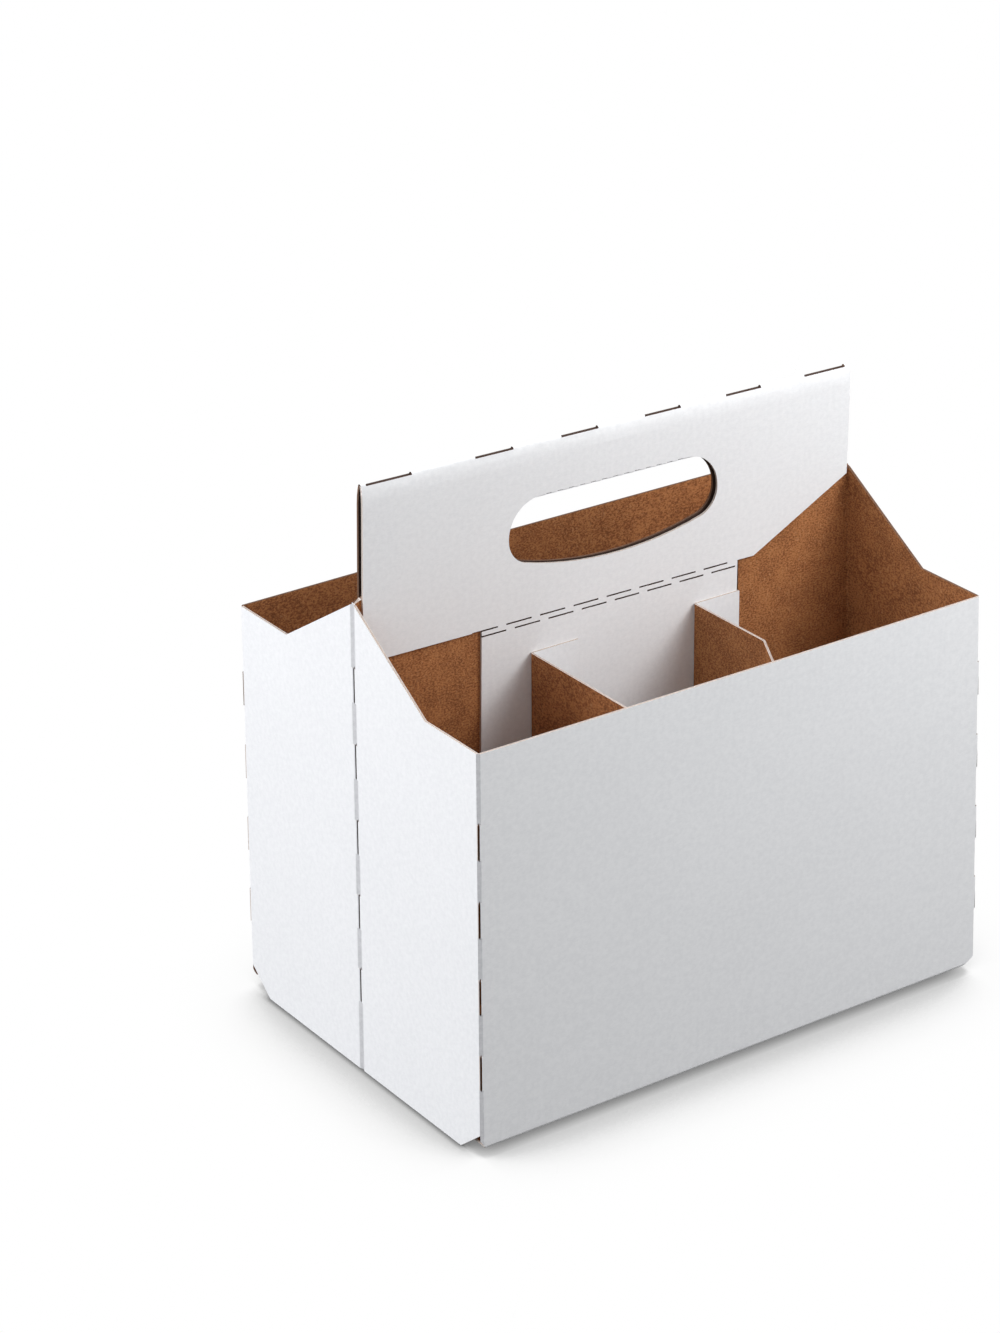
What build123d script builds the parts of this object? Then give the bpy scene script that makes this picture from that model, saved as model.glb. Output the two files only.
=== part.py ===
"""Six-cell bottle carrier, die-cut from one sheet of fluted board, folded and glued.

The origin is the middle of the footprint, on the surface that the carrier stands on. +X runs
along the carrier, +Y runs across it and +Z is up. The two long walls are the side walls, and the
wall at -Y is the near one. Everything is in millimetres.

The carrier is built about the middle of its handle, and moved onto its origin at the end.
"""

import os
from math import cos, radians, sin, tan

from build123d import *

os.makedirs("parts", exist_ok=True)

# The sheet
board = 0.8  # thickness of the fluted board
fold_radius = 1.2  # outside radius where a panel turns at a crushed score
crushed_bevel = 0.9  # leg of the bevel that the crushed stretches of a corner fold show
cut_bevel = 0.4  # the same where the knife went through, which isn't crushed
crush_overlap = 0.6  # the crushing runs this far past the tips of the slots
groove_half = 1.2  # half width of the groove down an end wall's middle crease
groove_depth = 0.5

# The open box
length = 191.0  # over the two end walls, at their shoulders
depth = 130.0  # over the two side walls
side_height = 130.4  # side wall, from its bottom fold to its top edge
bottom_rise = 3.6  # the end walls hang this far below the bottom fold
end_rise = 24.0  # an end wall climbs this far from its shoulders to its middle crease
shoulder = 27.2  # level stretch of an end wall beside each corner
end_flare = 3.6  # the +X end wall leans out this far from its shoulders down to its foot
bottom_gap = 1.0  # between the bottom panel and each end wall
lap_width = 26.0  # glue lap of the far wall, on top of the bottom panel

# Corners cut off the blank
end_cut_run = 11.0  # lower corners of the end walls
end_cut_height = 8.8
left_nip_run = 1.5  # lower corners of the side walls
left_nip_height = 3.1
right_nip_run = 5.4
right_nip_height = 3.2

# Cut-and-crease perforation along the corner folds and the end creases
perforation_pitch = 25.4
slot_length = 12.7
slot_width = 0.6
first_slot_drop = 28.3  # from the side wall's top edge to the middle of the first slot
corner_slots = 4
crease_slots = 5

# Handle: two plies folded over a ridge, leaning a little to one end
handle_length = 186.0
handle_height = 57.1  # from the crease over the cells to the ridge
handle_lift = 2.75  # the crease lies this far above the side walls, at mid-length
handle_tilt = 0.86  # degrees, the -X end stands higher
ridge_taper = 11.0  # height over which the two plies close up under the ridge
handle_cut_start = 55.5  # where the lower edge starts to climb at the +X end
handle_cut_angle = 28.0
ridge_apex = 0.55  # thickness of the board where it is crushed to fold over the ridge
ridge_nose = 0.75  # half width of the ridge just under its top
ridge_slot_depth = 0.7
ridge_slot_length = 14.0
ridge_slot_pitch = 31.75
ridge_slot_middle = -13.2  # one of the middle slots, counted from mid-length
ridge_end_slot = 16.4  # the outermost slots are longer
ridge_end_margin = 1.8  # from the handle's end to its outermost slot

# Hand hole
hole_width = 80.2
hole_drop = 17.5  # from the ridge to the top of the hole
hole_end_height = 19.0
hole_height = 25.6
hole_top_radius = 12.0
hole_bottom_radius = 9.0
hinge_dash = 2.0  # perforation along the flaps' hinge, at the top of the hole
hinge_dash_height = 0.3
hinge_pitch = 4.2
flap_margin = 0.4  # knife gap between a hand-hole flap and the hole it came from
near_flap_angle = -24.0  # above level, pushed through to the far side
far_flap_angle = 6.0

# Centre partition
gusset_reach = 45.5  # glue gussets turned inward from each end crease
gusset_foot = 4.0  # above the bottom panel
gusset_peak = 4.2  # how much higher a gusset stands inside the handle than at the crease
gusset_peak_run = 12.0
web_left = -50.0  # panel that hangs from the handle crease over the middle cells
web_right = 49.0
web_height = 84.0
score_drop = 1.9  # between the two cuts of the perforated handle crease
score_depth = 0.35
score_width = 0.5
score_dash = 9.5
score_pitch = 12.7

# Dividers: Z-folded straps, glued to the partition and to the side wall
divider_spacing = 63.4
divider_top_drop = 8.4  # below the side wall's top edge
divider_height = 70.0
partition_tab = 17.6
wall_tab = 17.0
strap_radius = 1.1  # outside radius of the strap's folds
right_notch_from_wall = 28.0  # top corner cut off the strap at the +X side
right_notch_angle = 50.0
foot_notch = 9.0

# Places worked out from the sizes above
half_length = length / 2
half_depth = depth / 2
fold_z = bottom_rise
side_top = fold_z + side_height
crease_top = side_top + end_rise
ply_inner = board
ply_outer = 2 * board
handle_z = side_top + handle_lift
ridge_z = handle_z + handle_height
divider_top = side_top - divider_top_drop
divider_foot = divider_top - divider_height
divider_xs = [-divider_spacing / 2, divider_spacing / 2]
web_foot_v = -web_height
tilt = radians(handle_tilt)
through = depth + 20.0  # longer than any cut has to reach
flare_slope = end_flare / side_top
gusset_foot_z = fold_z + board + gusset_foot

# The handle's own plane: u along the leaning handle, v up from its crease
lean_x = Vector(cos(tilt), 0, -sin(tilt))
lean_up = Vector(sin(tilt), 0, cos(tilt))
handle_plane = Plane(origin=(0, 0, handle_z), x_dir=lean_x, z_dir=(0, -1, 0))
handle_section = Plane(
    origin=Vector(0, 0, handle_z) - lean_x * (handle_length / 2), x_dir=(0, 1, 0), z_dir=lean_x
)


def end_x(side, z):
    """Where the outer face of the end wall at that side stands, at height z."""
    lean = flare_slope * (side_top - z) if side > 0 else 0
    return side * half_length + lean


def fold_line(side):
    """Direction in which the folds of the end wall at that side run up."""
    return Vector(-flare_slope if side > 0 else 0, 0, 1)


def creased_runs(middles, low, high):
    """The stretches of a fold that lie between its slots, as (start, end) heights."""
    stops = [low]
    for middle in sorted(middles):
        stops += [middle - slot_length / 2 + crush_overlap, middle + slot_length / 2 - crush_overlap]
    stops.append(high)
    return [(stops[i], stops[i + 1]) for i in range(0, len(stops), 2)]


def slot_middles(first, count):
    """Heights of the middles of a fold's perforation slots, from the top one down."""
    return [first - i * perforation_pitch for i in range(count)]


def slot_outline(long, wide):
    """A knife cut sprung open: straight sides and pointed ends, long along the sketch's Y."""
    tip = 1.6 * wide
    Polygon(
        (0, -long / 2),
        (wide / 2, -long / 2 + tip),
        (wide / 2, long / 2 - tip),
        (0, long / 2),
        (-wide / 2, long / 2 - tip),
        (-wide / 2, -long / 2 + tip),
        align=None,
    )


corners = [(x, y) for x in (-1, 1) for y in (-1, 1)]
corner_slot_zs = slot_middles(side_top - first_slot_drop, corner_slots)
crease_slot_zs = slot_middles(side_top - first_slot_drop + perforation_pitch, crease_slots)

# The handle: a folded section run along its leaning axis, then cut to its outline
top_v = handle_height
climb = (handle_length / 2 - handle_cut_start) * tan(radians(handle_cut_angle))
hole_top = top_v - hole_drop
hole_end = hole_top - hole_end_height
hole_bottom = hole_top - hole_height
hole_side = hole_width / 2
with BuildSketch() as hole_shape:
    with BuildLine():
        Line((-hole_side, hole_top), (hole_side, hole_top))
        Line((hole_side, hole_top), (hole_side, hole_end))
        ThreePointArc((hole_side, hole_end), (0, hole_bottom), (-hole_side, hole_end))
        Line((-hole_side, hole_end), (-hole_side, hole_top))
    make_face()
    fillet(hole_shape.vertices().group_by(Axis.Y)[-1], radius=hole_top_radius)
    fillet(hole_shape.vertices().group_by(Axis.Y)[0], radius=hole_bottom_radius)

bend_v = top_v - ridge_taper
nose_v = top_v - ridge_apex
with BuildPart() as handle:
    with BuildSketch(handle_section):
        with BuildLine():
            for y in (-1, 1):
                Line((y * ply_outer, web_foot_v), (y * ply_outer, bend_v))
                Spline(
                    (y * ply_outer, bend_v),
                    (y * ridge_nose, nose_v),
                    tangents=((0, 1), (-0.35 * y, 1)),
                )
                Spline((y * ridge_nose, nose_v), (0, top_v), tangents=((-0.35 * y, 1), (-y, 0)))
                Spline((y * ply_inner, bend_v), (0, top_v - ridge_apex), tangents=((0, 1), (-0.35 * y, 1)))
                Line((y * ply_inner, bend_v), (y * ply_inner, web_foot_v))
                Line((y * ply_inner, web_foot_v), (y * ply_outer, web_foot_v))
        make_face()
    extrude(amount=handle_length)

    # Outline seen square on: handle, the web under it, and the hand hole
    with BuildSketch(handle_plane.offset(-through / 2)):
        Polygon(
            (-handle_length / 2, 0),
            (-handle_length / 2, top_v + 1),
            (handle_length / 2, top_v + 1),
            (handle_length / 2, climb),
            (handle_cut_start, 0),
            (web_right, 0),
            (web_right, web_foot_v),
            (web_left, web_foot_v),
            (web_left, 0),
            align=None,
        )
        add(hole_shape.sketch_local, mode=Mode.SUBTRACT)
    extrude(amount=through, mode=Mode.INTERSECT)

    # Perforation along the ridge
    end_slot_u = handle_length / 2 - ridge_end_margin - ridge_end_slot / 2
    with BuildSketch(handle_plane.offset(-through / 2)):
        for i in range(-1, 3):
            with Locations((ridge_slot_middle + i * ridge_slot_pitch, top_v)):
                Rectangle(ridge_slot_length, 2 * ridge_slot_depth)
        with Locations((-end_slot_u, top_v), (end_slot_u, top_v)):
            Rectangle(ridge_end_slot, 2 * ridge_slot_depth)
    extrude(amount=through, mode=Mode.SUBTRACT)

    # Two rows of short cuts across each ply, where the handle and the web meet
    cuts = int((web_right - web_left) / score_pitch) + 1
    for face in (ply_outer, -ply_outer):
        with BuildSketch(handle_plane.offset(face)):
            for row in range(2):
                for i in range(cuts):
                    u = web_right - (i + 0.7 - 0.25 * row) * score_pitch
                    with Locations((u, -row * score_drop)):
                        Rectangle(score_dash, score_width)
        extrude(amount=score_depth, both=True, mode=Mode.SUBTRACT)

    # Hand-hole flaps, still hinged along the top of the hole and pushed through to the far side
    for ply_y, angle in ((-1.5 * board, near_flap_angle), (1.5 * board, far_flap_angle)):
        swing = radians(angle)
        reach = Vector(0, cos(swing), 0) + lean_up * sin(swing)
        hinge = Vector(0, ply_y, handle_z) + lean_up * hole_top
        with BuildSketch(Plane(origin=hinge, x_dir=lean_x, z_dir=lean_x.cross(-reach))):
            with Locations((0, -hole_top + flap_margin)):
                add(hole_shape.sketch_local)
            offset(amount=-flap_margin, mode=Mode.REPLACE)
        extrude(amount=board / 2, both=True)
    hinge_dashes = int((hole_width - 2 * hole_top_radius) / hinge_pitch)
    with BuildSketch(handle_plane.offset(-through / 2)):
        with Locations((0, hole_top)):
            with GridLocations(hinge_pitch, 1, hinge_dashes, 1):
                Rectangle(hinge_dash, hinge_dash_height)
    extrude(amount=through, mode=Mode.SUBTRACT)

# All that the knife and the creasing rule take from the upright folds
with BuildPart() as fold_cuts:
    # Outside corners: crushed flat between the slots, nearly square where the knife went through
    crushed = creased_runs(corner_slot_zs, 0, side_top)
    for leg, runs in ((cut_bevel, [(0, side_top)]), (crushed_bevel, crushed)):
        for low, high in runs:
            for x in (-1, 1):
                with BuildSketch(Plane.XY.offset(low)):
                    for y in (-1, 1):
                        Polygon(
                            (end_x(x, low) + x * leg, y * half_depth),
                            (end_x(x, low) - x * leg, y * half_depth),
                            (end_x(x, low), y * (half_depth - leg)),
                            (end_x(x, low) + x * leg, y * (half_depth - leg)),
                            align=None,
                        )
                extrude(amount=(high - low) * fold_line(x).length, dir=fold_line(x))

    # The middle crease of each end wall: a groove where both halves turn inward
    grooved = creased_runs(crease_slot_zs, 0, crease_top)
    for share, runs in ((0.5, [(0, crease_top)]), (1, grooved)):
        for low, high in runs:
            for x in (-1, 1):
                with BuildSketch(Plane.XY.offset(low)):
                    Polygon(
                        (end_x(x, low), -share * groove_half),
                        (end_x(x, low), share * groove_half),
                        (end_x(x, low) - x * share * groove_depth, 0),
                        align=None,
                    )
                extrude(amount=(high - low) * fold_line(x).length, dir=fold_line(x))

    # Perforation slots through the corner folds and the middle creases
    slot_planes = [
        Plane(origin=(end_x(x, z), y * half_depth, z), x_dir=(-y, x, 0), z_dir=(x, y, 0))
        for x, y in corners
        for z in corner_slot_zs
    ]
    with BuildSketch(*slot_planes):
        slot_outline(slot_length, slot_width)
    extrude(amount=2.4 * board, both=True)
    crease_planes = [
        Plane(origin=(end_x(x, z), 0, z), x_dir=(0, x, 0), z_dir=(x, 0, 0))
        for x in (-1, 1)
        for z in crease_slot_zs
    ]
    with BuildSketch(*crease_planes):
        slot_outline(slot_length, slot_width)
    extrude(amount=1.8 * board, both=True)

# The walls and everything glued inside them, near half, then mirrored over the ridge line
with BuildPart() as carrier:
    # Side wall, from its bottom fold to the level top edge
    with BuildSketch(Plane.XZ.offset(half_depth)):
        Polygon(
            (-half_length, fold_z + left_nip_height),
            (-half_length, side_top),
            (half_length, side_top),
            (end_x(1, fold_z + right_nip_height), fold_z + right_nip_height),
            (end_x(1, fold_z) - right_nip_run, fold_z),
            (-half_length + left_nip_run, fold_z),
            align=None,
        )
    extrude(amount=-board)

    # Half of each end wall: shoulder, climb to the crease, free bottom edge with its corner cut
    for x in (-1, 1):
        wall_normal = Vector(0, 1, 0).cross(fold_line(x))
        stretch = fold_line(x).length  # a leaning wall is longer than it stands high
        with BuildSketch(Plane(origin=(end_x(x, 0), 0, 0), x_dir=(0, 1, 0), z_dir=wall_normal)):
            Polygon(
                (-half_depth, end_cut_height * stretch),
                (-half_depth, side_top * stretch),
                (-half_depth + shoulder, side_top * stretch),
                (0, crease_top * stretch),
                (0, 0),
                (-half_depth + end_cut_run, 0),
                align=None,
            )
        extrude(amount=board, dir=(-x, 0, 0))
    # Glue gussets: the end walls carry on inward from the crease, up between the handle plies
    with BuildSketch(Plane.XZ):
        for side in (-1, 1):
            Polygon(
                (end_x(side, gusset_foot_z) - side * board / 2, gusset_foot_z),
                (end_x(side, crease_top) - side * board / 2, crease_top),
                (side * (half_length - gusset_peak_run), crease_top + gusset_peak),
                (side * (half_length - gusset_reach), crease_top + gusset_peak),
                (side * (half_length - gusset_reach), gusset_foot_z),
                align=None,
            )
    extrude(amount=board)

    # Dividers, each with a tab on the partition and a tab on the side wall
    with BuildSketch(Plane.XY.offset(divider_foot)):
        for x in divider_xs:
            with BuildLine():
                FilletPolyline(
                    (x + partition_tab, -ply_outer - board / 2),
                    (x, -ply_outer - board / 2),
                    (x, -half_depth + 1.5 * board),
                    (x - wall_tab, -half_depth + 1.5 * board),
                    radius=strap_radius - board / 2,
                )
            trace(line_width=board)
    extrude(amount=divider_height)

    # The strap at the +X side lost its top corner to the shape beside it on the sheet
    notch_run = right_notch_from_wall - board
    notch_fall = notch_run * tan(radians(right_notch_angle))
    with BuildSketch(Plane.YZ.offset(divider_xs[1] - wall_tab)):
        Polygon(
            (-half_depth + board, divider_top),
            (-half_depth + board + notch_run, divider_top),
            (-half_depth + board, divider_top - notch_fall),
            align=None,
        )
    extrude(amount=wall_tab + board, mode=Mode.SUBTRACT)

    # Straps have their lower corner at the side wall cut back
    with BuildSketch(Plane.YZ.offset(-half_length + 2 * board)):
        Polygon(
            (-half_depth + board, divider_foot),
            (-half_depth + board, divider_foot + foot_notch),
            (-half_depth + board + foot_notch, divider_foot),
            align=None,
        )
    extrude(amount=length - 4 * board, mode=Mode.SUBTRACT)

    mirror(about=Plane.XZ)

    # Bottom panel between the two side walls, clear of the end walls
    bottom_left = end_x(-1, fold_z) + board + bottom_gap
    bottom_right = end_x(1, fold_z) - board - bottom_gap
    with BuildSketch(Plane.XY.offset(fold_z)):
        Polygon(
            (bottom_left, -half_depth),
            (end_x(1, fold_z) - right_nip_run, -half_depth),
            (bottom_right, -half_depth + right_nip_height),
            (bottom_right, half_depth - right_nip_height),
            (end_x(1, fold_z) - right_nip_run, half_depth),
            (bottom_left, half_depth),
            align=None,
        )
    extrude(amount=board)
    low_folds = carrier.edges().filter_by(Axis.X).filter_by_position(Axis.Z, fold_z - 0.01, fold_z + 0.01)
    fillet(low_folds.filter_by(lambda e: abs(abs(e.center().Y) - half_depth) < 0.01), radius=fold_radius)

    # Glue lap of the far wall, lying on the bottom panel
    with BuildSketch(Plane.XY.offset(fold_z + board)):
        with Locations(((bottom_left + bottom_right) / 2, half_depth - lap_width / 2)):
            Rectangle(bottom_right - bottom_left - 2 * right_nip_height, lap_width)
    extrude(amount=board)

    add(handle.part)

    add(fold_cuts.part, mode=Mode.SUBTRACT)

# The flare moves the middle of the footprint, which is where the origin goes
centred = Pos(-end_flare / 2, 0, 0) * carrier.part
centred.label = "carrier"
export_step(centred, "parts/carrier.step")
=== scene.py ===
"""Looks of the six-cell bottle carrier: one sheet of fluted board, folded and glued.

Lengths in the comments are in millimetres; everything given to Blender is in metres, in the
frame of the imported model.
"""

from math import cos, pi, radians, sin, tan

import bmesh
import bpy
from mathutils import Matrix, Vector, noise


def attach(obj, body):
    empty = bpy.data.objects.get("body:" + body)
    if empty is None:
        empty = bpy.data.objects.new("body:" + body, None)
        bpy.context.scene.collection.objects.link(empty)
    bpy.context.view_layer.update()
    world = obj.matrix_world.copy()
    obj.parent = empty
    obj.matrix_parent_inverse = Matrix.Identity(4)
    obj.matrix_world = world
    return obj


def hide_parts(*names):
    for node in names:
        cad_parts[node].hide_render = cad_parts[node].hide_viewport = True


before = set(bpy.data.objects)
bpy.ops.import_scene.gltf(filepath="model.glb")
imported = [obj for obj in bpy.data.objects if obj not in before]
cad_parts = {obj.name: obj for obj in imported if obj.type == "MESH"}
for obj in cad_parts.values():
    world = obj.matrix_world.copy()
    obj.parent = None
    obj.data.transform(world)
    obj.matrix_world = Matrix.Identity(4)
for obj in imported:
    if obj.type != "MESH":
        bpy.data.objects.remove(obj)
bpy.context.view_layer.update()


# The sheet. Fine-flute board, 0.8 thick: a clay-coated white liner outside, a brown kraft liner
# inside, and the fluted medium between them, which shows only where the knife went through.
board = 0.0008
flute_pitch = 0.0024


class Wire:
    """A socket of a material's nodes. Sums on wires add the nodes that work them out."""

    def __init__(self, tree, socket=None):
        self.tree = tree
        self.socket = socket

    def node(self, kind, settings, sockets, out=0):
        made = self.tree.nodes.new(kind)
        for key, value in settings.items():
            if key == "stops":
                ramp = made.color_ramp.elements
                for i, (place, level) in enumerate(value):
                    stop = ramp[i] if i < 2 else ramp.new(place)
                    stop.position = place
                    stop.color = (level, level, level, 1)
            else:
                setattr(made, key, value)
        for key, value in sockets.items():
            if isinstance(value, Wire):
                self.tree.links.new(value.socket, made.inputs[key])
            else:
                made.inputs[key].default_value = value
        return Wire(self.tree, made.outputs[out])

    def sum(self, operation, a, b=0.0):
        return self.node("ShaderNodeMath", {"operation": operation}, {0: a, 1: b})

    def __add__(self, other):
        return self.sum("ADD", self, other)

    __radd__ = __add__

    def __sub__(self, other):
        return self.sum("SUBTRACT", self, other)

    def __rsub__(self, other):
        return self.sum("SUBTRACT", other, self)

    def __mul__(self, other):
        return self.sum("MULTIPLY", self, other)

    __rmul__ = __mul__

    def __abs__(self):
        return self.sum("ABSOLUTE", self)

    def wave(self, pitch):
        return self.sum("SINE", self * (2 * pi / pitch))

    def step(self, low, high):
        return self.node("ShaderNodeMapRange", {"interpolation_type": "SMOOTHSTEP"},
                         {"Value": self, "From Min": low, "From Max": high})

    def speckle(self, place, size, detail=2.0, roughness=0.5):
        return self.node("ShaderNodeTexNoise", {}, {"Vector": place, "Scale": 1 / size,
                         "Detail": detail, "Roughness": roughness}, "Fac")

    def stretch(self, place, x, y, z):
        return self.node("ShaderNodeVectorMath", {"operation": "MULTIPLY"},
                         {0: place, 1: (x, y, z)})

    def flutes(self, place):
        x, y = (self.node("ShaderNodeSeparateXYZ", {}, {"Vector": place}, i) for i in range(2))
        return (x + y).wave(flute_pitch)

    def tint(self, amount, a, b):
        return self.node("ShaderNodeMix", {"data_type": "RGBA"}, {0: amount, 6: a, 7: b}, 2)


def new_finish(name, rough, specular):
    """A material with one Principled shader, its paper's place and the wire to build it from."""
    material = bpy.data.materials.new(name)
    material.use_nodes = True
    tree = material.node_tree
    tree.nodes.clear()
    start = Wire(tree)
    shader = start.node("ShaderNodeBsdfPrincipled", {},
                        {"Roughness": rough, "Specular IOR Level": specular}, "BSDF")
    output = tree.nodes.new("ShaderNodeOutputMaterial")
    tree.links.new(shader.socket, output.inputs["Surface"])
    place = start.node("ShaderNodeTexCoord", {}, {}, "Object")
    return material, start, shader.socket.node, place


def dress(start, shader, colour, height, depth, rough=None):
    """Joins a colour, a relief and, where it varies, a roughness to a finish."""
    start.tree.links.new(colour.socket, shader.inputs["Base Color"])
    bump = start.node("ShaderNodeBump", {}, {"Strength": 1.0, "Distance": depth, "Height": height})
    start.tree.links.new(bump.socket, shader.inputs["Normal"])
    if rough is not None:
        start.tree.links.new(rough.socket, shader.inputs["Roughness"])


# White liner: smooth, faintly cloudy coating over short fibres, with the flutes just telling
# through as upright ribs. At the folds it is drawn rougher, and greyer as painted shade.
def white_liner(name, coating, coating_thin, relief):
    cloud_size, mottle_size, fibre_size = 0.03, 0.0016, 0.0012
    material, start, shader, place = new_finish(name, 0.55, 0.35)
    clouds = start.speckle(place, cloud_size, 3.0)
    mottle = start.speckle(place, mottle_size, 3.0, 0.6)
    fibres = start.speckle(start.stretch(place, 1, 1, 5), fibre_size)
    thin = clouds * 0.12 + mottle * 0.58 + fibres * 0.30
    colour = start.tint(thin.step(0.30, 0.70), coating, coating_thin)
    height = mottle * 0.5 + fibres * 0.4 + start.flutes(place) * 0.08
    dress(start, shader, colour, height, relief, 0.5 + mottle * 0.15)
    return material


liner_white = white_liner("white_liner", (0.825, 0.833, 0.850, 1),
                          (0.755, 0.764, 0.784, 1), relief=0.00004)
# painted shade: the white liner drawn greyer where it lies in a folded corner or a crease's groove
liner_crease_shade = white_liner("white_liner_crease_shade", (0.640, 0.645, 0.665, 1),
                            (0.520, 0.525, 0.545, 1), relief=0.0001)


# Kraft liner: unbleached brown paper, warm and grainy, with darker flecks and pale fibres. Inside
# the narrow cuts and between the handle's plies it is drawn much darker, as painted shade.
def kraft_liner(name, dark, middle, pale):
    blotch_size, fleck_size, hair_size, relief = 0.008, 0.0008, 0.0014, 0.0001
    material, start, shader, place = new_finish(name, 0.8, 0.2)
    blotch = start.speckle(place, blotch_size, 3.0, 0.6)
    flecks = start.speckle(start.stretch(place, 1, 1, 1.6), fleck_size, 3.0, 0.7)
    hairs = start.speckle(start.stretch(place, 3, 3, 1), hair_size)
    brown = start.tint((blotch * 0.2 + flecks * 0.8).step(0.41, 0.58), dark, middle)
    brown = start.tint(hairs.step(0.58, 0.76) * 0.55, brown, pale)
    dress(start, shader, brown, flecks * 0.6 + start.flutes(place) * 0.12, relief)
    return material


liner_kraft = kraft_liner("kraft_liner", (0.190, 0.069, 0.025, 1),
                          (0.435, 0.182, 0.068, 1), (0.540, 0.275, 0.130, 1))
# painted shade: kraft drawn much darker for the narrow cuts and the room between the handle's
# plies
shade_in_cuts = kraft_liner("shade_in_cuts", (0.040, 0.021, 0.015, 1),
                         (0.066, 0.037, 0.027, 1), (0.095, 0.058, 0.044, 1))


# Cut edge: the two liners as lines and the fluted medium waving between them, with painted shade
# in the hollows between the flutes. It is pale, but the photograph shows the far edges darker, so
# the upper ones of the back half and +X end are brown.
def edge_of_board(name, hollow_shade, medium, rim):
    fuzz_size, relief = 0.0006, 0.0003
    material, start, shader, place = new_finish(name, 0.85, 0.15)
    across = start.node("ShaderNodeAttribute", {"attribute_name": "across"}, {}, "Fac")
    upright = start.node("ShaderNodeAttribute", {"attribute_name": "upright"}, {}, "Fac")
    crest = 0.5 + start.flutes(place) * 0.34 * (1 - upright)
    paper = 1 - abs(across - crest).step(0.07, 0.15)
    liners = abs(across - 0.5).step(0.33, 0.40)
    # painted shade: the hollows between the flutes are drawn darker than the medium
    colour = start.tint(liners, start.tint(paper, hollow_shade, medium), rim)
    fuzz = start.speckle(place, fuzz_size)
    dress(start, shader, colour, paper * 0.4 + liners * 0.6 + fuzz * 0.5, relief)
    return material


cut_edge = edge_of_board("cut_edge", (0.480, 0.395, 0.345, 1),
                         (0.660, 0.570, 0.515, 1), (0.810, 0.765, 0.735, 1))
cut_edge_brown = edge_of_board("cut_edge_brown", (0.120, 0.062, 0.040, 1),
                               (0.200, 0.112, 0.070, 1), (0.260, 0.155, 0.105, 1))


# The folded carrier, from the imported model's own surface: cut into a fine net so that the panels
# can bow as glued board does, then each face given the liner or the cut edge that it shows.
length, depth = 0.191, 0.130
half_x, half_y = length / 2, depth / 2
end_flare, end_inside, end_top = 0.0036, 0.088, 0.159
fold_z, side_top, crease_z = 0.0036, 0.134, 0.13675
hinge_z, ridge_up = 0.17635, 0.0571
handle_slope = tan(radians(0.86))
divider_xs = (-0.0317, 0.0317)
net, net_start = 0.005, 0.0023
net_reach = (0.0974, 0.065, 0.196)

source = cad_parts["carrier"]
mesh = source.data.copy()
mesh.name = "carrier_board"
shape = bmesh.new()
shape.from_mesh(mesh)
bmesh.ops.remove_doubles(shape, verts=shape.verts, dist=1e-6)
for axis, reach in enumerate(net_reach):
    normal = Vector((0, 0, 0))
    normal[axis] = 1
    at = -reach + net_start
    while at < reach:
        everything = shape.verts[:] + shape.edges[:] + shape.faces[:]
        bmesh.ops.bisect_plane(shape, geom=everything, dist=1e-7, plane_co=normal * at,
                               plane_no=normal)
        at += net
shape.normal_update()
shape.faces.index_update()


def side(v):
    """1 on the right or the back half of the carrier, -1 on the left or the front half."""
    return 1 if v > 0 else -1


def squared(p):
    """A point's place on the same carrier with its +X end wall upright, from its middle."""
    x, y, z = p
    x += end_flare / 2
    if x > end_inside:
        x -= end_flare * (side_top - z) / side_top
    return x, y, z


# Where the folds, slots, flaps, ridge and tabs of the carrier lie, as panel_of tells them apart.
slack = 0.00005
fold_reach = 0.0014
groove_depth, groove_half = 0.0006, 0.00125
slot_depth, slot_half, slot_top = 1.9 * board, 0.0006, 0.150
hinge_half, hinge_reach = 0.0004, 0.030
flap_low, flap_high, flap_out, flap_reach = 0.150, 0.179, 0.03, 0.042
near_flap, far_flap = tan(radians(24)), tan(radians(6))
foot_high, lap_high, brown_from = 0.0017, 0.0003, 0.1
dash_down, dash_half, dash_depth = 0.00095, 0.0014, 0.0005
ridge_top, ridge_end, ridge_inside, ridge_fold = 0.0008, 0.0925, 0.0005, 0.012
open_plies, shut_plies, shut_from = 0.002, 0.030, 0.046
brown_gusset = 0.05
tab_from, tab_reach, tab_depth = 0.001, 0.03, 2.2 * board
web_plane = (1, 0.0)


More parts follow.
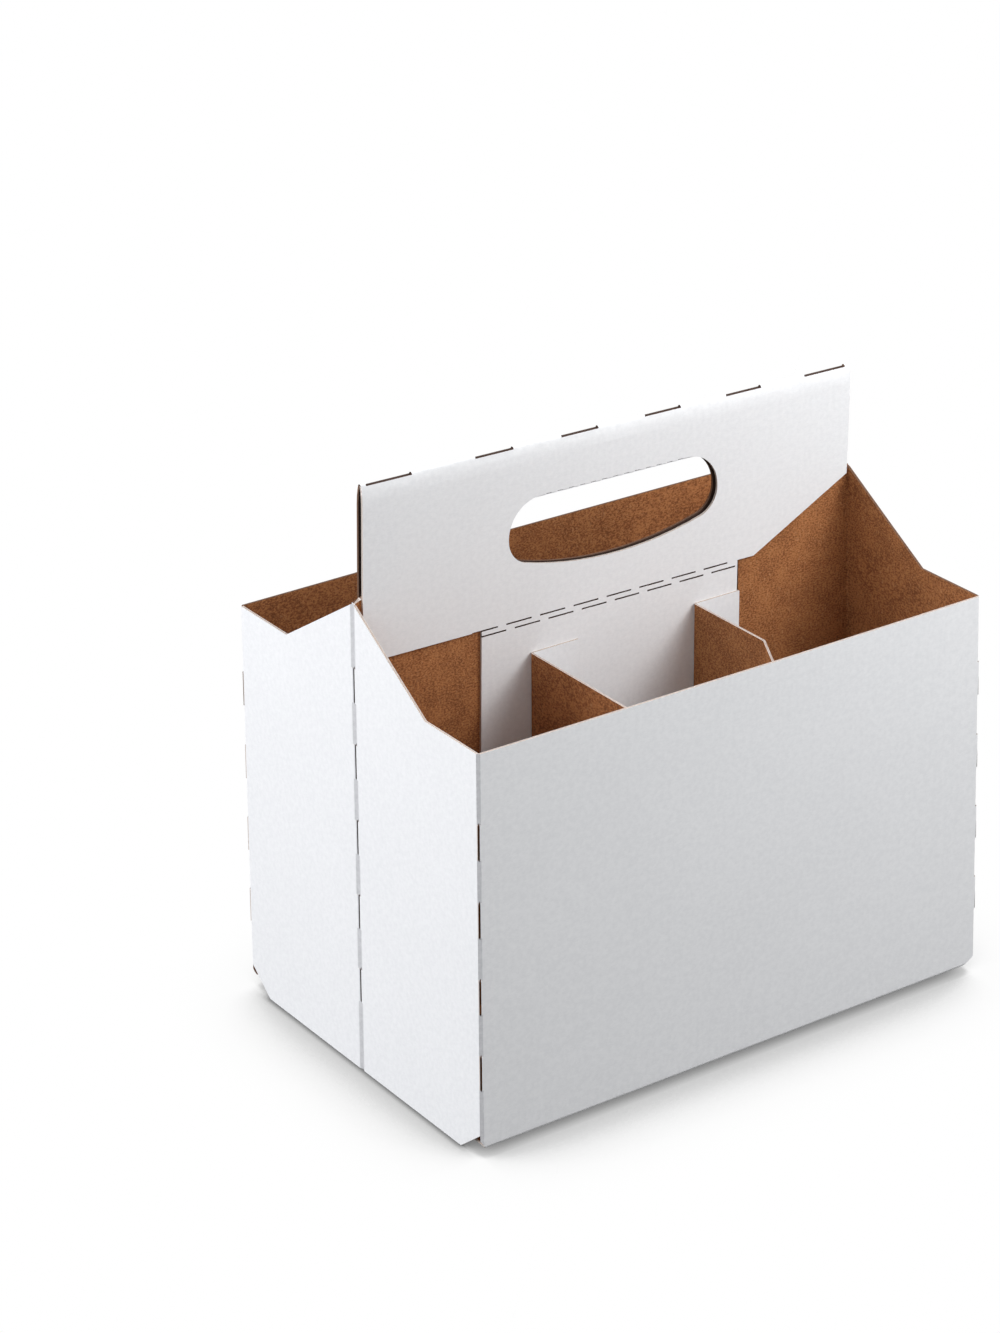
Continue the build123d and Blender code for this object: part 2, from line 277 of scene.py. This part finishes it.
def panel_of(p, n):
    """What a face shows, and the board's middle plane there, for a cut edge."""
    x, y, z = squared(p)
    ax, ay = abs(x), abs(y)
    # a folded corner or the groove of an end wall's crease, both drawn with painted shade
    if abs(n.z) < 0.3 and 0.3 < abs(n.x) < 0.95:
        if ax > half_x - fold_reach and ay > half_y - fold_reach:
            outward = n.x * x > 0 and n.y * y > 0
            return ("crease_shade" if outward and abs(n.z) < 0.2 else "cut", None)
        if ax > half_x - groove_depth and ay < groove_half:
            return ("crease_shade" if n.x * x > 0 else "kraft", None)
    # the slots of the creases, and their pointed ends, with painted shade inside them
    if ax > half_x - slot_depth and ay < slot_half and abs(n.x) < 0.3 and z < slot_top:
        return ("cut", None)
    # hand-hole flaps, pushed to the far side of the handle, and the perforation that they hang by,
    # whose cuts are painted shade
    level = z + x * handle_slope
    from_hinge = level - hinge_z
    at_hinge = abs(from_hinge) < hinge_half and ax < hinge_reach
    if at_hinge and ay < 2 * board + slack and abs(n.y) < 0.5:
        return ("cut", None)
    if flap_low < level < flap_high and -1.5 * board < y < flap_out and ax < flap_reach:
        off_near = abs(from_hinge + (y + 1.5 * board) * near_flap)
        off_far = abs(from_hinge - (y - 1.5 * board) * far_flap)
        if abs(n.z) > 0.6 and min(off_near, off_far) < 0.7 * board:
            return ("white" if (n.z > 0) == (off_far < off_near) else "kraft", None)
        if y > 2 * board + slack:
            return ("edge", (2, z))
    # side walls, then end walls
    if ay > half_y - board - slack:
        if abs(n.y) > 0.8:
            return ("white" if n.y * y > 0 else "kraft", None)
        if n.z < -0.2 and z < fold_z + foot_high and abs(n.x) < 0.2:
            return ("white", None)
        look = "brown edge" if y > 0 and z > brown_from else "edge"
        return (look, (1, (half_y - board / 2) * side(y)))
    if ax > half_x - board - slack and z < end_top:
        if abs(n.x) > 0.8:
            return ("white" if n.x * x > 0 else "kraft", None)
        look = "brown edge" if x > 0 and z > brown_from else "edge"
        return (look, (0, (half_x - board / 2) * side(x)))
    # the bottom panel and its lap
    if z < fold_z + 2 * board + lap_high:
        if n.z < -0.8:
            return ("white", None)
        if n.z > 0.8:
            return ("kraft", None)
        return ("edge", (2, fold_z + (0.5 if z < fold_z + board else 1.5) * board))
    # handle, web and gussets, with painted shade in the score grooves, the ridge and between plies
    if ay < 2 * board + slack:
        up = level - crease_z
        if abs(up + dash_down) < dash_half and slack < 2 * board - ay < dash_depth:
            return ("cut", None)
        if up > ridge_up - ridge_top and abs(n.x) > 0.9 and ax < ridge_end:
            return ("cut", None)
        if up > ridge_up - ridge_fold and abs(n.x) < 0.7:
            if n.z > 0.95 and up < ridge_up - ridge_inside:
                return ("cut", None)
            return ("white" if n.z > 0.5 or n.y * y > 0 else "cut", None)
        if abs(n.y) > 0.6:
            if ay > board + slack:
                return ("white" if n.y * y > 0 else "kraft", None)
            plies_from = shut_plies if x > shut_from else open_plies
            return ("cut" if up > plies_from and ax < ridge_end else "kraft", None)
        brown_handle = y > 0 and up > 0
        brown_end = x > brown_gusset and z > brown_from and ay < board
        look = "brown edge" if brown_handle or brown_end else "edge"
        return (look, (1, 1.5 * board * side(y)) if ay > board else web_plane)
    # partition tabs of the straps
    if ay < 3 * board + slack:
        if abs(n.y) > 0.8:
            return ("white", None)
        look = "edge" if abs(n.z) > 0.5 or n.x > 0.5 else "kraft"
        return (look, (1, 2.5 * board * side(y)))
    # the straps and their wall tabs
    if abs(n.z) > 0.5:
        for strap in divider_xs:
            if abs(x - strap) < board:
                return ("edge", (0, strap))
        return ("edge", (1, (half_y - 1.5 * board) * side(y)))
    if abs(n.y) > 0.8:
        return ("kraft", None)
    from_strap = min(x - strap for strap in divider_xs if x - strap > -tab_reach)
    if from_strap > tab_from and ay > half_y - tab_depth:
        return ("edge", (1, (half_y - 1.5 * board) * side(y)))
    return ("white" if n.x > 0 else "kraft", None)


# The looks that panel_of names, in the order of the mesh's materials. A face is shaded smooth,
# apart from a wide one, away from the ridge, that turns slightly from its neighbour.
# Two looks are painted shade: the greyed white liner of the folds, and the dark kraft of the cuts.
finishes = {"white": liner_white, "crease_shade": liner_crease_shade, "kraft": liner_kraft,
            "edge": cut_edge, "cut": shade_in_cuts, "brown edge": cut_edge_brown}
looks = list(finishes)
ridge_half, ridge_depth, sliver = 0.003, 0.014, 0.0009
slight_turn, fold_turn = radians(0.5), radians(25)

edge_planes = {}
for face in shape.faces:
    look, plane = panel_of(face.calc_center_median(), face.normal)
    face.material_index = looks.index(look)
    _, y, z = squared(face.calc_center_median())
    at_ridge = abs(y) < ridge_half and z > crease_z + ridge_up - ridge_depth
    narrow = face.calc_area() < sliver * max(edge.calc_length() for edge in face.edges)
    turns = any(slight_turn < edge.calc_face_angle(0) < fold_turn for edge in face.edges)
    face.smooth = at_ridge or narrow or not turns
    if look.endswith("edge") and plane:
        edge_planes[face.index] = plane

mesh.materials.clear()
for finish in finishes.values():
    mesh.materials.append(finish)
shape.to_mesh(mesh)
shape.free()
mesh.attributes.remove(mesh.attributes["custom_normal"])


def within(v):
    """A share kept between none and all."""
    return max(0.0, min(1.0, v))


# Where a cut edge's corner lies across the board, and whether the edge stands: the flutes wave
# only along the edges that lie level.
across_values, upright_values = [], []
for polygon in mesh.polygons:
    plane = edge_planes.get(polygon.index)
    standing = 1.0 if abs(polygon.normal.z) < 0.35 else 0.0
    for corner in polygon.vertices:
        p = squared(mesh.vertices[corner].co)
        if plane is None:
            across_values.append(0.5)
        else:
            off = (p[plane[0]] - plane[1]) / board
            across_values.append(abs(off) if plane == web_plane else within(0.5 + off))
        upright_values.append(standing)
for name, values in (("across", across_values), ("upright", upright_values)):
    layer = mesh.attributes.new(name, "FLOAT", "CORNER")
    layer.data.foreach_set("value", values)


# The bow of the glued panels: most in the middle of a side wall and at its top, and less in the
# end walls. It fades out inwards, so that the web stays where it is.
wall_bow, end_share, wall_rise = 0.0004, 0.8, 0.129
wall_inside, wall_fade = 0.045, 0.017
ends_inside, ends_fade = 0.080, 0.013


def bowed(p):
    """Where a point of the flat-panelled carrier lies once the panels have bowed a little."""
    x, y, z = squared(p)
    up = within((z - fold_z) / wall_rise)
    along = max(0.0, 1 - (x / half_x) ** 2)
    over = max(0.0, 1 - (y / half_y) ** 2)
    drift = noise.noise(Vector((x * 14, 3.1 + side(y), z * 12)))
    drift_end = noise.noise(Vector((7.7 + side(x), y * 16, z * 12)))
    near_wall = within((abs(y) - wall_inside) / wall_fade)
    near_end = within((abs(x) - ends_inside) / ends_fade)
    dy = side(y) * near_wall * along * wall_bow * (0.3 + up * 0.9 + drift)
    dx = side(x) * near_end * over * wall_bow * end_share * drift_end * up
    return Vector((p[0] + dx, y + dy, z))


for vertex in mesh.vertices:
    vertex.co = bowed(vertex.co)
mesh.set_sharp_from_angle(angle=fold_turn)
carrier = bpy.data.objects.new("carrier_board", mesh)
bpy.context.scene.collection.objects.link(carrier)
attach(carrier, "root")
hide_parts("carrier")


# The floor: plain and pale. To the camera it is white, and grey where the carrier keeps the light
# from it: darkest where the foot meets it, and fading out within 50.
floor_half, shadow_reach, touch_reach = 4, 0.05, 0.0033
floor_mesh = bpy.data.meshes.new("floor")
corners = [(-floor_half, -floor_half, 0), (floor_half, -floor_half, 0),
           (floor_half, floor_half, 0), (-floor_half, floor_half, 0)]
floor_mesh.from_pydata(corners, [], [(0, 1, 2, 3)])
floor = bpy.data.objects.new("floor", floor_mesh)
bpy.context.scene.collection.objects.link(floor)
floor_finish, start, shader, place = new_finish("floor_paint", 1.0, 0.0)
seen = start.node("ShaderNodeLightPath", {}, {}, "Is Camera Ray")
shade = start.tint(seen, (0.30, 0.30, 0.30, 1), (0, 0, 0, 1))
start.tree.links.new(shade.socket, shader.inputs["Base Color"])
clear = start.node("ShaderNodeAmbientOcclusion", {"samples": 16}, {"Distance": shadow_reach}, "AO")
touch = start.node("ShaderNodeAmbientOcclusion", {"samples": 8}, {"Distance": touch_reach}, "AO")
shadow = start.node("ShaderNodeValToRGB", {"stops": [
    (0.0, 0.14), (1.0, 1.0), (0.10, 0.24), (0.20, 0.36), (0.30, 0.46), (0.40, 0.53), (0.50, 0.58),
    (0.55, 0.65), (0.58, 0.73), (0.62, 0.84), (0.66, 0.895), (0.70, 0.935), (0.74, 0.965),
    (0.80, 0.983), (0.90, 1.0)]}, {"Fac": clear}, "Color")
shadow = start.tint(touch.step(0.45, 0.95), (0.17, 0.17, 0.17, 1), shadow)
glow = start.tint(seen, (0, 0, 0, 1), shadow)
start.tree.links.new(glow.socket, shader.inputs["Emission Color"])
shader.inputs["Emission Strength"].default_value = 1.0
floor_mesh.materials.append(floor_finish)


# Light: an even white room, one wide soft lamp from the left, and two small weak ones from the
# front right. The lamps light the carrier alone.
room_strength = 0.79
world = bpy.data.worlds.new("room")
bpy.context.scene.world = world
world.use_nodes = True
tree = world.node_tree
tree.nodes.clear()
room = Wire(tree)
rays = [room.node("ShaderNodeLightPath", {}, {}, kind)
        for kind in ("Is Camera Ray", "Is Glossy Ray", "Is Transmission Ray")]
plain = room.sum("MAXIMUM", rays[0], room.sum("MAXIMUM", rays[1], rays[2]))
lit, white = (room.node("ShaderNodeBackground", {}, {"Color": (1, 1, 1, 1), "Strength": strength})
              for strength in (room_strength, 1.0))
both = room.node("ShaderNodeMixShader", {}, {0: plain, 1: lit, 2: white})
output = tree.nodes.new("ShaderNodeOutputWorld")
tree.links.new(both.socket, output.inputs["Surface"])

lamps_light = bpy.data.collections.new("lamps_light")
lamps_light.objects.link(carrier)


def soft_lamp(name, spot, aim, size, power, colour):
    data = bpy.data.lights.new(name, "AREA")
    data.shape = "DISK"
    data.size = size
    data.energy = power
    data.color = colour
    lamp = bpy.data.objects.new(name, data)
    lamp.location = spot
    lamp.rotation_euler = (Vector(aim) - Vector(spot)).to_track_quat("-Z", "Y").to_euler()
    lamp.light_linking.receiver_collection = lamps_light
    bpy.context.scene.collection.objects.link(lamp)


soft_lamp("key_lamp", (-0.85, 0.30, 0.52), (0, 0, 0.08), 0.6, 7.15, (0.975, 0.98, 1.0))
soft_lamp("front_lamp", (0.34, -0.30, 0.44), (0.06, 0, 0.12), 0.2, 1.10, (1.0, 1.0, 1.0))
soft_lamp("top_lamp", (0.20, -0.22, 0.46), (0.06, 0, 0.15), 0.2, 0.73, (1.0, 1.0, 1.0))


# The camera, at the photograph's viewing angle. Its place, turn and lens were worked out from the
# carrier's corners, slots and creases.
azimuth, elevation, roll = radians(-34.90), radians(20.46), radians(-0.44)
camera_spot = Vector((-0.66958, -0.89797, 0.62952))
forward = Vector((-sin(azimuth) * cos(elevation), cos(azimuth) * cos(elevation), -sin(elevation)))
right = forward.cross(Vector((0, 0, 1))).normalized()
above = right.cross(forward)
rolled_right = cos(roll) * right + sin(roll) * above
rolled_above = cos(roll) * above - sin(roll) * right
data = bpy.data.cameras.new("camera")
data.sensor_width = 36
data.lens = 105.84
data.shift_y = -0.225
data.clip_end = 20
camera = bpy.data.objects.new("camera", data)
turn = Matrix((rolled_right, rolled_above, -forward)).transposed().to_4x4()
camera.matrix_world = Matrix.Translation(camera_spot) @ turn
bpy.context.scene.collection.objects.link(camera)
bpy.context.scene.camera = camera
bpy.context.scene.view_settings.view_transform = "Standard"
